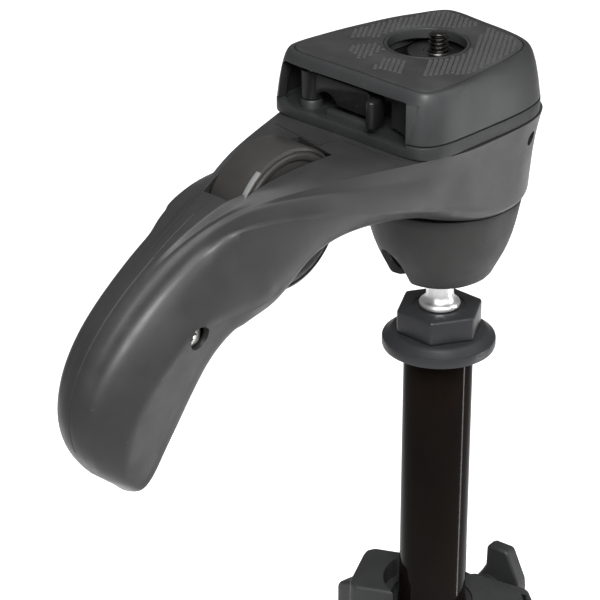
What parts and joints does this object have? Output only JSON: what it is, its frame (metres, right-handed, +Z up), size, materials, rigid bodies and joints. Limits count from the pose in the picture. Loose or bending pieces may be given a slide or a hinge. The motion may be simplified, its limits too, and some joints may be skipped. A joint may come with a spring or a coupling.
{
  "type": "camera tripod",
  "caption": "Tabletop-height camera tripod with a raised centre column and a joystick-grip ball head holding an empty quick-release plate.",
  "frame": {"origin": "on the floor under the centre column's axis", "axes": "+Z up along the column, +Y forward, away from the grip, +X to the right seen from behind the grip"},
  "size_m": [0.267, 0.2848, 0.5168],
  "materials": {
    "plate_plastic": "satin, fine grain",
    "pad_rubber": "matte with fine ribs",
    "black_metal": "satin black",
    "screw_black": "blackened",
    "bright_steel": "bright",
    "tray_plastic": "matte, fine grain",
    "lever_black": "semi-gloss",
    "body_plastic": "satin, fine grain",
    "wheel_plastic": "satin",
    "index_grey": "satin",
    "brake_metal": "turned",
    "nylon": "natural nylon",
    "socket_metal": "cast",
    "bright_aluminium": "turned, bright",
    "cup_plastic": "matte",
    "boss_plastic": "satin",
    "column_black": "gloss black anodised",
    "cap_plastic": "matte",
    "shoulder_plastic": "matte, fine grain",
    "bush_plastic": "satin",
    "knob_plastic": "matte",
    "leg_black": "satin black anodised",
    "collar_plastic": "satin",
    "flip_plastic": "satin",
    "foot_rubber": "matte"
  },
  "bodies": {
    "shoulder": {"shoulder": "shoulder_plastic", "column_bush": "bush_plastic", "hinge_pins": "bright_steel"},
    "clamp": {"clamp_pad": "nylon"},
    "knob": {"lock_knob": "knob_plastic"},
    "column": {"column_tube": "column_black", "column_end_cap": "cap_plastic", "top_flange": "boss_plastic", "hex_boss": "boss_plastic", "stem": "bright_aluminium"},
    "ball": {"ball": "bright_aluminium"},
    "liner": {"ball_liner": "nylon"},
    "head": {"body_left_shell": "body_plastic", "body_right_shell": "body_plastic", "spine_cover": "body_plastic", "shell_screws": "bright_steel", "wheel_axle": "bright_steel", "ball_socket": "socket_metal", "cup_ring": "bright_steel", "plate_base": "tray_plastic", "base_screws": "bright_steel", "lever_pin": "bright_steel", "brake_shoe": "nylon"},
    "brake": {"brake_rod": "brake_metal"},
    "wheel": {"lock_wheel": "wheel_plastic", "wheel_index": "index_grey"},
    "cup": {"selector_cup": "cup_plastic"},
    "lever": {"release_lever": "lever_black"},
    "plate": {"plate_shell": "plate_plastic", "plate_pad": "pad_rubber"},
    "carrier": {"screw_carrier": "black_metal"},
    "screw": {"camera_screw": "screw_black", "screw_clip": "bright_steel"},
    "leg_1": {"leg_1_top": "shoulder_plastic", "leg_1_tube_1": "leg_black", "leg_1_collar_1": "collar_plastic"},
    "leg_1_mid": {"leg_1_tube_2": "leg_black", "leg_1_collar_2": "collar_plastic"},
    "leg_1_low": {"leg_1_tube_3": "leg_black", "leg_1_foot": "foot_rubber"},
    "leg_1_lock_1": {"leg_1_lever_1": "flip_plastic"},
    "leg_1_lock_2": {"leg_1_lever_2": "flip_plastic"},
    "leg_2": {"leg_2_top": "shoulder_plastic", "leg_2_tube_1": "leg_black", "leg_2_collar_1": "collar_plastic"},
    "leg_2_mid": {"leg_2_tube_2": "leg_black", "leg_2_collar_2": "collar_plastic"},
    "leg_2_low": {"leg_2_tube_3": "leg_black", "leg_2_foot": "foot_rubber"},
    "leg_2_lock_1": {"leg_2_lever_1": "flip_plastic"},
    "leg_2_lock_2": {"leg_2_lever_2": "flip_plastic"},
    "leg_3": {"leg_3_top": "shoulder_plastic", "leg_3_tube_1": "leg_black", "leg_3_collar_1": "collar_plastic"},
    "leg_3_mid": {"leg_3_tube_2": "leg_black", "leg_3_collar_2": "collar_plastic"},
    "leg_3_low": {"leg_3_tube_3": "leg_black", "leg_3_foot": "foot_rubber"},
    "leg_3_lock_1": {"leg_3_lever_1": "flip_plastic"},
    "leg_3_lock_2": {"leg_3_lever_2": "flip_plastic"}
  },
  "joints": [
    {"name": "column_slide", "type": "slide", "parent": "shoulder", "child": "column", "axis": [0, 0, -1], "range_m": [-0.15, 0.085]},
    {"name": "knob_turn", "type": "hinge", "parent": "shoulder", "child": "knob", "pos_m": [0, 0, 0.30123], "axis": [-0.1045, 0.9945, 0], "range_deg": [0, 40]},
    {"name": "pad_slide", "type": "slide", "parent": "shoulder", "child": "clamp", "axis": [-0.1045, 0.9945, 0], "range_m": [0, 0.00035]},
    {"name": "head_pan", "type": "hinge", "parent": "column", "child": "ball", "pos_m": [0, 0, 0.45122], "axis": [0, 0, 1], "continuous": true},
    {"name": "head_drop", "type": "hinge", "parent": "ball", "child": "liner", "pos_m": [0, 0, 0.45122], "axis": [-0.9744, 0.225, 0], "range_deg": [-48, 12]},
    {"name": "head_tilt", "type": "hinge", "parent": "liner", "child": "head", "pos_m": [0, 0, 0.45122], "axis": [-0.225, -0.9744, 0], "range_deg": [-3, 3]},
    {"name": "selector_turn", "type": "hinge", "parent": "head", "child": "cup", "pos_m": [0, 0, 0.45122], "axis": [0, 0, -1], "range_deg": [0, 62]},
    {"name": "wheel_turn", "type": "hinge", "parent": "head", "child": "wheel", "pos_m": [0, -0.0748, 0.48102], "axis": [1, 0, 0], "range_deg": [0, 60]},
    {"name": "rod_slide", "type": "slide", "parent": "head", "child": "brake", "axis": [0, -1, 0], "range_m": [0, 0.001]},
    {"name": "lever_swing", "type": "hinge", "parent": "head", "child": "lever", "pos_m": [-0.0195, -0.038, 0.50523], "axis": [0, 0, -1], "range_deg": [0, 55]},
    {"name": "plate_lift", "type": "slide", "parent": "head", "child": "plate", "axis": [0, 0, 1], "range_m": [0, 0.03]},
    {"name": "carrier_slide", "type": "slide", "parent": "plate", "child": "carrier", "axis": [0, 1, 0], "range_m": [-0.012, 0.003]},
    {"name": "screw_turn", "type": "hinge", "parent": "carrier", "child": "screw", "pos_m": [0, -0.0037, 0.51123], "axis": [0, 0, 1], "continuous": true},
    {"name": "leg_1_spread", "type": "hinge", "parent": "shoulder", "child": "leg_1", "pos_m": [0.01681, 0.02113, 0.30123], "axis": [0.7826, -0.6225, 0], "range_deg": [-23.5, 0]},
    {"name": "leg_1_slide_1", "type": "slide", "parent": "leg_1", "child": "leg_1_mid", "axis": [0.2482, 0.3121, -0.9171], "range_m": [0, 0.185]},
    {"name": "leg_1_slide_2", "type": "slide", "parent": "leg_1_mid", "child": "leg_1_low", "axis": [0.2482, 0.3121, -0.9171], "range_m": [0, 0.185]},
    {"name": "leg_1_flip_1", "type": "hinge", "parent": "leg_1", "child": "leg_1_lock_1", "pos_m": [0.08597, 0.10809, 0.08619], "axis": [0.2482, 0.3121, -0.9171], "range_deg": [0, 100]},
    {"name": "leg_1_flip_2", "type": "hinge", "parent": "leg_1_mid", "child": "leg_1_lock_2", "pos_m": [0.09453, 0.11884, 0.05019], "axis": [0.2482, 0.3121, -0.9171], "range_deg": [0, 100]},
    {"name": "leg_2_spread", "type": "hinge", "parent": "shoulder", "child": "leg_2", "pos_m": [-0.0267, 0.00399, 0.30123], "axis": [0.1478, 0.989, 0], "range_deg": [-23.5, 0]},
    {"name": "leg_2_slide_1", "type": "slide", "parent": "leg_2", "child": "leg_2_mid", "axis": [-0.3944, 0.0589, -0.9171], "range_m": [0, 0.185]},
    {"name": "leg_2_slide_2", "type": "slide", "parent": "leg_2_mid", "child": "leg_2_low", "axis": [-0.3944, 0.0589, -0.9171], "range_m": [0, 0.185]},
    {"name": "leg_2_flip_1", "type": "hinge", "parent": "leg_2", "child": "leg_2_lock_1", "pos_m": [-0.13659, 0.02041, 0.08619], "axis": [-0.3944, 0.0589, -0.9171], "range_deg": [0, 100]},
    {"name": "leg_2_flip_2", "type": "hinge", "parent": "leg_2_mid", "child": "leg_2_lock_2", "pos_m": [-0.15019, 0.02245, 0.05019], "axis": [-0.3944, 0.0589, -0.9171], "range_deg": [0, 100]},
    {"name": "leg_3_spread", "type": "hinge", "parent": "shoulder", "child": "leg_3", "pos_m": [0.0099, -0.02512, 0.30123], "axis": [-0.9304, -0.3665, 0], "range_deg": [-23.5, 0]},
    {"name": "leg_3_slide_1", "type": "slide", "parent": "leg_3", "child": "leg_3_mid", "axis": [0.1461, -0.371, -0.9171], "range_m": [0, 0.185]},
    {"name": "leg_3_slide_2", "type": "slide", "parent": "leg_3_mid", "child": "leg_3_low", "axis": [0.1461, -0.371, -0.9171], "range_m": [0, 0.185]},
    {"name": "leg_3_flip_1", "type": "hinge", "parent": "leg_3", "child": "leg_3_lock_1", "pos_m": [0.05062, -0.1285, 0.08619], "axis": [0.1461, -0.371, -0.9171], "range_deg": [0, 100]},
    {"name": "leg_3_flip_2", "type": "hinge", "parent": "leg_3_mid", "child": "leg_3_lock_2", "pos_m": [0.05566, -0.14129, 0.05019], "axis": [0.1461, -0.371, -0.9171], "range_deg": [0, 100]}
  ],
  "couplings": [
    {"joint": "pad_slide", "follows": "knob_turn", "m_per_rad": 0.000477},
    {"joint": "rod_slide", "follows": "wheel_turn", "m_per_rad": 0.000954}
  ]
}
